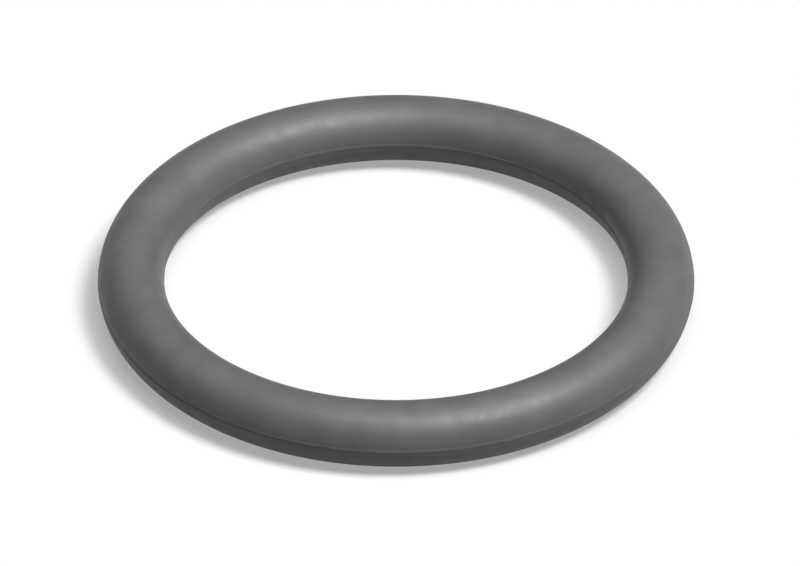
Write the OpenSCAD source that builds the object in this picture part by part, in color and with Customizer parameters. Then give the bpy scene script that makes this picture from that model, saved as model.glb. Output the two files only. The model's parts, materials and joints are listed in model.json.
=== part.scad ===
// O-ring for a static or sliding seal: a round rubber section turned about +Z.
// It is moulded between two plates that meet in the plane z = 0, so it carries
// the fine trimmed line of their joint round its inside and round its outside.
// The origin is the centre of the ring, halfway up its section.

/* [Ring] */
// Inside diameter of the unstretched ring
inside_dia = 37.47; // [10:0.01:200]
// Diameter of the round section
section_dia = 5.33; // [1.6:0.01:9]

/* [Parting line] */
// Height of the trimmed flash above the round section
flash_height = 0.04; // [0.02:0.01:0.12]
// Width across the top of the trimmed flash
flash_width = 0.16; // [0.08:0.01:0.3]
// Lean of the two flanks of the flash, in degrees from its middle plane
flash_lean = 35; // [15:1:50]

/* [Finish] */
// Facets round the ring and round its section in the preview
facets = 192; // [48:24:360]

/* [Hidden] */

section_radius = section_dia / 2;
// Radius of the circle that the centre of the section follows
ring_radius = inside_dia / 2 + section_radius;
flash_reach = section_radius + flash_height;
// How deep the foot of the flash goes into the section, so that the two join without a step
flash_root = section_radius / 4;

// Outline of one flash, out from the centre of the section along +X
module flash_outline() {
    top_half = flash_width / 2;
    root_half = top_half + (flash_height + flash_root) * tan(flash_lean);
    polygon([
        [flash_reach, -top_half],
        [flash_reach, top_half],
        [section_radius - flash_root, root_half],
        [section_radius - flash_root, -root_half]
    ]);
}

// Round section with its flash towards the inside and the outside of the ring
module section_outline() {
    circle(r = section_radius, $fn = facets);
    for (side = [0, 180])
        rotate(side) flash_outline();
}

module o_ring() {
    color("#4d4d4f")
        rotate_extrude($fn = facets)
            translate([ring_radius, 0])
                section_outline();
}

o_ring();
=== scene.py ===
import json
import math

import bpy
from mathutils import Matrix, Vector


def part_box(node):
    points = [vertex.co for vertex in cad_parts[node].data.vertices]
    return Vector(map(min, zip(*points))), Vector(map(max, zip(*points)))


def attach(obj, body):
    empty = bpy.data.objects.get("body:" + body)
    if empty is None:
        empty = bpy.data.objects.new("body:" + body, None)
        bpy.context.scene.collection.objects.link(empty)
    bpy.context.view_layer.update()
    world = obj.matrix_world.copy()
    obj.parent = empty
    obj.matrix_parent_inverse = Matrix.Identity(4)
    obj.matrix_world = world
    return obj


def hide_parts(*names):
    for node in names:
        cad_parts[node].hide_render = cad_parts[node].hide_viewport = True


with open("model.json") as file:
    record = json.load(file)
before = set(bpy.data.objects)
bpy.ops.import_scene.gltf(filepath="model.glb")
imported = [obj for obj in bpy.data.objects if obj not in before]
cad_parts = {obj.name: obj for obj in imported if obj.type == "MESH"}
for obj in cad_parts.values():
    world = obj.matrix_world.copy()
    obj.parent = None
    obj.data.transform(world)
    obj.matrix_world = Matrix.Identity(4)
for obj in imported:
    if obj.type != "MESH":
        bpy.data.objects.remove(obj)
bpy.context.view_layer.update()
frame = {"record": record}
mm = 0.001                                      # one millimetre in metres
print("ring: packed model loaded")

# The sockets of Math and Mix nodes share their names, so they go by number
firstPlain = 2
secondPlain = 3
firstColour = 6
secondColour = 7
mixedColour = 2


def linearColour(hexColour):
    # The sRGB curve, from a hex colour to the linear values that a shader takes
    channels = [int(hexColour[place:place + 2], 16) / 255 for place in (1, 3, 5)]
    linear = [c / 12.92 if c <= 0.04045 else ((c + 0.055) / 1.055) ** 2.4 for c in channels]
    return (*linear, 1.0)


def addNode(tree, kind, links=None, **settings):
    # links gives an input a plain value, a socket, or a node, which joins by its first output
    node = tree.nodes.new(kind)
    for name, value in settings.items():
        setattr(node, name, value)
    for place, value in (links or {}).items():
        source = value.outputs[0] if isinstance(value, bpy.types.Node) else value
        if isinstance(source, bpy.types.NodeSocket):
            tree.links.new(source, node.inputs[place])
        else:
            node.inputs[place].default_value = source
    return node


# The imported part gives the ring's sizes: its box gives the section, its two seats give the flash crests
seats = {mount["name"]: mount["dims"] for mount in frame["record"]["mounts"]}
innerCrest = seats["inner_seat"]["r_mm"] * mm
outerCrest = seats["outer_seat"]["r_mm"] * mm
lowCorner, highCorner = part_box("o_ring")
sectionRadius = (highCorner.z - lowCorner.z) / 2
crestHalf = seats["inner_seat"]["length_mm"] * mm / 2

ringShape = {
    # From the centre of the hole to the centre of the section
    "Ring Radius": (outerCrest + innerCrest) / 2,
    "Section Radius": sectionRadius,
    "Flash Height": (outerCrest - innerCrest) / 2 - sectionRadius,
    # Half the width of the flat crest that trimming leaves, and half that where the flash runs out
    "Crest Half": crestHalf,
    "Foot Half": 0.22 * mm,
    # Lowest stretches of the flash, as a share of its height
    "Least Flash": 0.35,
    # How far along the ring the trimming takes to rise and fall
    "Flash Wander": 2.5 * mm,
    # Noise up to the first leaves the least flash, and noise from the second leaves its whole height
    "Low Trim Noise": 0.35,
    "High Trim Noise": 0.65,
    "Steps Round Ring": 480,
    "Steps Round Section": 160,
    # 0 spaces the section's points evenly, and -0.5 packs them at the flash
    "Gathering": -0.45,
    "Seed": 7.0,
}


def mouldedRingTree(shape):
    tree = bpy.data.node_groups.new("mouldedRing", "GeometryNodeTree")
    for name, value in shape.items():
        kind = "NodeSocketInt" if isinstance(value, int) else "NodeSocketFloat"
        tree.interface.new_socket(name, in_out="INPUT", socket_type=kind)
    tree.interface.new_socket("Material", in_out="INPUT", socket_type="NodeSocketMaterial")
    tree.interface.new_socket("Geometry", in_out="OUTPUT", socket_type="NodeSocketGeometry")
    sizes = addNode(tree, "NodeGroupInput").outputs

    # Points round the section, gathered where the two mould halves meet
    index = addNode(tree, "GeometryNodeInputIndex")
    share = addNode(tree, "ShaderNodeMath", {
        0: index, 1: sizes["Steps Round Section"]}, operation="DIVIDE")
    angle = addNode(tree, "ShaderNodeMath", {0: share, 1: math.tau}, operation="MULTIPLY")
    twice = addNode(tree, "ShaderNodeMath", {0: angle, 1: 2.0}, operation="MULTIPLY")
    swing = addNode(tree, "ShaderNodeMath", {0: twice}, operation="SINE")
    angle = addNode(tree, "ShaderNodeMath", {
        0: swing, 1: sizes["Gathering"], 2: angle}, operation="MULTIPLY_ADD")
    cosine = addNode(tree, "ShaderNodeMath", {0: angle}, operation="COSINE")
    sine = addNode(tree, "ShaderNodeMath", {0: angle}, operation="SINE")
    onCircle = addNode(tree, "ShaderNodeCombineXYZ", {0: cosine, 1: sine})
    onSection = addNode(tree, "ShaderNodeVectorMath", {
        0: onCircle, "Scale": sizes["Section Radius"]}, operation="SCALE")
    circle = addNode(tree, "GeometryNodeCurvePrimitiveCircle", {
        "Resolution": sizes["Steps Round Section"]})
    section = addNode(tree, "GeometryNodeSetPosition", {"Geometry": circle, "Position": onSection})

    # The section swept round the ring
    path = addNode(tree, "GeometryNodeCurvePrimitiveCircle", {
        "Resolution": sizes["Steps Round Ring"], "Radius": sizes["Ring Radius"]})
    swept = addNode(tree, "GeometryNodeCurveToMesh", {"Curve": path, "Profile Curve": section})

    # The trimmed flash stands up from the section, outside and inside, a little higher here than there
    position = addNode(tree, "GeometryNodeInputPosition")
    along = addNode(tree, "ShaderNodeSeparateXYZ", {0: position})
    flat = addNode(tree, "ShaderNodeCombineXYZ", {0: along.outputs["X"], 1: along.outputs["Y"]})
    reach = addNode(tree, "ShaderNodeVectorMath", {0: flat}, operation="LENGTH")
    beyond = addNode(tree, "ShaderNodeMath", {
        0: reach.outputs["Value"], 1: sizes["Ring Radius"]}, operation="SUBTRACT")
    side = addNode(tree, "ShaderNodeMath", {0: beyond}, operation="SIGN")
    offPlane = addNode(tree, "ShaderNodeMath", {0: along.outputs["Z"]}, operation="ABSOLUTE")
    profile = addNode(tree, "ShaderNodeMapRange", {
        "Value": offPlane, "From Min": sizes["Crest Half"], "From Max": sizes["Foot Half"],
        "To Min": sizes["Flash Height"], "To Max": 0.0}, interpolation_type="SMOOTHSTEP")
    fineness = addNode(tree, "ShaderNodeMath", {0: 1.0, 1: sizes["Flash Wander"]}, operation="DIVIDE")
    ripple = addNode(tree, "ShaderNodeTexNoise", {
        "Vector": position, "W": sizes["Seed"], "Scale": fineness, "Detail": 3.0}, noise_dimensions="4D")
    trim = addNode(tree, "ShaderNodeMapRange", {
        "Value": ripple, "From Min": sizes["Low Trim Noise"], "From Max": sizes["High Trim Noise"],
        "To Min": sizes["Least Flash"], "To Max": 1.0})
    height = addNode(tree, "ShaderNodeMath", {0: profile, 1: trim}, operation="MULTIPLY")
    lift = addNode(tree, "ShaderNodeMath", {0: height, 1: side}, operation="MULTIPLY")
    outward = addNode(tree, "ShaderNodeVectorMath", {0: flat}, operation="NORMALIZE")
    offset = addNode(tree, "ShaderNodeVectorMath", {0: outward, "Scale": lift}, operation="SCALE")
    flashed = addNode(tree, "GeometryNodeSetPosition", {"Geometry": swept, "Offset": offset})

    smooth = addNode(tree, "GeometryNodeSetShadeSmooth", {"Geometry": flashed})
    real = addNode(tree, "GeometryNodeRealizeInstances", {"Geometry": smooth})
    painted = addNode(tree, "GeometryNodeSetMaterial", {"Geometry": real, "Material": sizes["Material"]})
    addNode(tree, "NodeGroupOutput", {0: painted})
    return tree


def mouldedRing(shape, material):
    # The modifier runs once and leaves a plain mesh
    tree = mouldedRingTree(shape)
    carrier = bpy.data.objects.new("ringCarrier", bpy.data.meshes.new("ringCarrier"))
    bpy.context.scene.collection.objects.link(carrier)
    modifier = carrier.modifiers.new("mouldedRing", "NODES")
    modifier.node_group = tree
    values = {**shape, "Material": material}
    for socket in tree.interface.items_tree:
        if socket.in_out == "INPUT":
            modifier[socket.identifier] = values[socket.name]
    evaluated = carrier.evaluated_get(bpy.context.evaluated_depsgraph_get())
    mesh = bpy.data.meshes.new_from_object(evaluated)
    bpy.data.objects.remove(carrier)
    ring = bpy.data.objects.new("moulded_ring", mesh)
    bpy.context.scene.collection.objects.link(ring)
    return ring


# Nitrile rubber filled with carbon black, compression moulded in a polished steel cavity: a smooth satin
# skin with a broad soft highlight, faint clouds of bloom, and a duller crest where the flash was trimmed.
# Its greys follow the picture's mid tones, which are lighter than such rubber is.
rubberLook = {
    "colour": "#616162",
    # Clouds of wax bloom on the skin, with the noise that leaves none and the noise that leaves all of it
    "bloomColour": "#69696a",
    "bloomSize": 3.0 * mm,
    "noBloomNoise": 0.35,
    "fullBloomNoise": 0.65,
    # Patches that handling has left a little shinier or duller, with the noise that gives either
    "roughness": 0.54,
    "roughnessSpread": 0.05,
    "handlingSize": 1.1 * mm,
    "shinyNoise": 0.3,
    "dullNoise": 0.7,
    # Nitrile rubber has 1.52, raised here to match the picture's sheen
    "ior": 1.6,
    # Real cavity grain is near 0.05 mm, drawn coarser so that it shows
    "grainSize": 0.22 * mm,
    "grainDepth": 0.0004 * mm,
    "trimColour": "#707070",
    "trimRoughness": 0.66,
}


def mouldedRubber(look, shape):
    material = bpy.data.materials.new("compressionMouldedNitrileRubber")
    material.use_nodes = True
    tree = material.node_tree
    tree.nodes.clear()
    place = addNode(tree, "ShaderNodeTexCoord").outputs["Object"]
    along = addNode(tree, "ShaderNodeSeparateXYZ", {0: place})
    offPlane = addNode(tree, "ShaderNodeMath", {0: along.outputs["Z"]}, operation="ABSOLUTE")
    trimmed = addNode(tree, "ShaderNodeMapRange", {
        "Value": offPlane, "From Min": shape["Crest Half"], "From Max": shape["Foot Half"],
        "To Min": 1.0, "To Max": 0.0})

    clouds = addNode(tree, "ShaderNodeTexNoise", {
        "Vector": place, "Scale": 1 / look["bloomSize"], "Detail": 4.0, "Roughness": 0.55})
    bloom = addNode(tree, "ShaderNodeMapRange", {
        "Value": clouds, "From Min": look["noBloomNoise"], "From Max": look["fullBloomNoise"]})
    skin = addNode(tree, "ShaderNodeMix", {
        "Factor": bloom, firstColour: linearColour(look["colour"]),
        secondColour: linearColour(look["bloomColour"])}, data_type="RGBA")
    colour = addNode(tree, "ShaderNodeMix", {
        "Factor": trimmed, firstColour: skin.outputs[mixedColour],
        secondColour: linearColour(look["trimColour"])}, data_type="RGBA")

    patches = addNode(tree, "ShaderNodeTexNoise", {
        "Vector": place, "Scale": 1 / look["handlingSize"], "Detail": 5.0})
    skinRoughness = addNode(tree, "ShaderNodeMapRange", {
        "Value": patches, "From Min": look["shinyNoise"], "From Max": look["dullNoise"],
        "To Min": look["roughness"] - look["roughnessSpread"],
        "To Max": look["roughness"] + look["roughnessSpread"]})
    roughness = addNode(tree, "ShaderNodeMix", {
        "Factor": trimmed, firstPlain: skinRoughness, secondPlain: look["trimRoughness"]})

    grain = addNode(tree, "ShaderNodeTexNoise", {
        "Vector": place, "Scale": 1 / look["grainSize"], "Detail": 2.0})
    bump = addNode(tree, "ShaderNodeBump", {
        "Height": grain, "Distance": look["grainDepth"], "Strength": 1.0})

    shader = addNode(tree, "ShaderNodeBsdfPrincipled", {
        "Base Color": colour.outputs[mixedColour], "Roughness": roughness, "IOR": look["ior"],
        "Normal": bump})
    addNode(tree, "ShaderNodeOutputMaterial", {"Surface": shader})
    return material


rubber = mouldedRubber(rubberLook, ringShape)
ring = mouldedRing(ringShape, rubber)
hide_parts("o_ring")
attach(ring, "root")
print("ring: section swept, flash raised, rubber applied,", len(ring.data.polygons), "faces")

floorLook = {
    # Metres along each side
    "size": 8.0,
    # Pale matt paper, as the camera and the ring's gloss see it
    "colour": "#c0c0c0",
    # What the floor sends back onto the ring as plain light
    "bounceColour": "#101010",
    # Share of plain white that the camera and the gloss see besides the lit paper
    "whiteLift": 0.36,
}


def paperFloor(look, level):
    half = look["size"] / 2
    corners = [(-half, -half, level), (half, -half, level), (half, half, level), (-half, half, level)]
    mesh = bpy.data.meshes.new("paper_floor")
    mesh.from_pydata(corners, [], [(0, 1, 2, 3)])
    material = bpy.data.materials.new("mattPaperFloor")
    material.use_nodes = True
    tree = material.node_tree
    tree.nodes.clear()
    ray = addNode(tree, "ShaderNodeLightPath").outputs
    seen = addNode(tree, "ShaderNodeMath", {
        0: ray["Is Camera Ray"], 1: ray["Is Glossy Ray"]}, operation="MAXIMUM")
    seen = addNode(tree, "ShaderNodeMath", {0: seen, 1: ray["Is Transmission Ray"]}, operation="MAXIMUM")
    lit = addNode(tree, "ShaderNodeMix", {
        "Factor": seen, firstColour: linearColour(look["bounceColour"]),
        secondColour: linearColour(look["colour"])}, data_type="RGBA")
    paper = addNode(tree, "ShaderNodeBsdfDiffuse", {"Color": lit.outputs[mixedColour]})
    lift = addNode(tree, "ShaderNodeMath", {0: seen, 1: look["whiteLift"]}, operation="MULTIPLY")
    glow = addNode(tree, "ShaderNodeEmission", {"Strength": lift})
    both = addNode(tree, "ShaderNodeAddShader", {0: paper, 1: glow})
    addNode(tree, "ShaderNodeOutputMaterial", {"Surface": both})
    mesh.materials.append(material)
    floor = bpy.data.objects.new("paper_floor", mesh)
    bpy.context.scene.collection.objects.link(floor)
    return floor


floor = paperFloor(floorLook, lowCorner.z)
print("stage: floor laid")

# Degrees and metres; azimuth runs from +X, the right of the picture, towards +Y, its far side.
# cardLevel is how bright the lamp alone lights a white card that faces it, where 1 is white.
studioLamps = {
    "rightSoftbox": {"azimuth": -26, "elevation": 63, "distance": 8.0, "side": 2.7, "cardLevel": 1.1},
    "overheadSoftbox": {"azimuth": -90, "elevation": 80, "distance": 8.0, "side": 4.2, "cardLevel": 0.3},
}


def softLamp(name, lamp):
    azimuth = math.radians(lamp["azimuth"])
    elevation = math.radians(lamp["elevation"])
    toLamp = Vector((math.cos(azimuth) * math.cos(elevation), math.sin(azimuth) * math.cos(elevation),
                     math.sin(elevation)))
    data = bpy.data.lights.new(name, "AREA")
    data.shape = "SQUARE"
    data.size = lamp["side"]
    data.energy = lamp["cardLevel"] * (math.pi * lamp["distance"]) ** 2
    light = bpy.data.objects.new(name, data)
    light.location = toLamp * lamp["distance"]
    light.rotation_mode = "QUATERNION"
    light.rotation_quaternion = (-toLamp).to_track_quat("-Z", "Y")
    light.visible_camera = False
    bpy.context.scene.collection.objects.link(light)


for lampName, lampValues in studioLamps.items():
    softLamp(lampName, lampValues)

roomLook = {
    "colour": "#ffffff",
    # Share of plain white, dim, because the lamps light the ring
    "level": 0.02,
}

room = bpy.data.worlds.new("room")
room.use_nodes = True
roomLight = room.node_tree.nodes["Background"].inputs
roomLight["Color"].default_value = linearColour(roomLook["colour"])
roomLight["Strength"].default_value = roomLook["level"]
bpy.context.scene.world = room
print("stage: lamps set")

view = {
    # Degrees above the ring's plane, the true isometric view
    "elevation": 35.264,
    # Scale and place of the ring's outline in the picture
    "pictureSize": (800, 566),
    "pixelsPerMillimetre": 12.382,
    "ringCentrePixel": (396.07, 278.52),
    # So long a lens, in millimetres, that the ring shows almost as in a parallel view
    "focalLength": 800.0,
    "sensorWidth": 36.0,
    # Metres, past the far edge of the floor
    "clipEnd": 10.0,
}


def isometricCamera(view):
    tilt = math.radians(view["elevation"])
    towardCamera = Vector((0.0, -math.cos(tilt), math.sin(tilt)))
    across = Vector((1.0, 0.0, 0.0))
    up = towardCamera.cross(across)
    pixel = mm / view["pixelsPerMillimetre"]
    width, height = view["pictureSize"]
    centreX, centreY = view["ringCentrePixel"]
    aim = across * (width / 2 - centreX) * pixel + up * (centreY - height / 2) * pixel
    data = bpy.data.cameras.new("isometricCamera")
    data.lens = view["focalLength"]
    data.sensor_width = view["sensorWidth"]
    data.clip_end = view["clipEnd"]
    camera = bpy.data.objects.new("isometricCamera", data)
    camera.location = aim + towardCamera * width * pixel * view["focalLength"] / view["sensorWidth"]
    camera.rotation_mode = "QUATERNION"
    camera.rotation_quaternion = (-towardCamera).to_track_quat("-Z", "Y")
    bpy.context.scene.collection.objects.link(camera)
    return camera


bpy.context.scene.camera = isometricCamera(view)
bpy.context.scene.view_settings.view_transform = "Standard"
print("stage: camera placed")
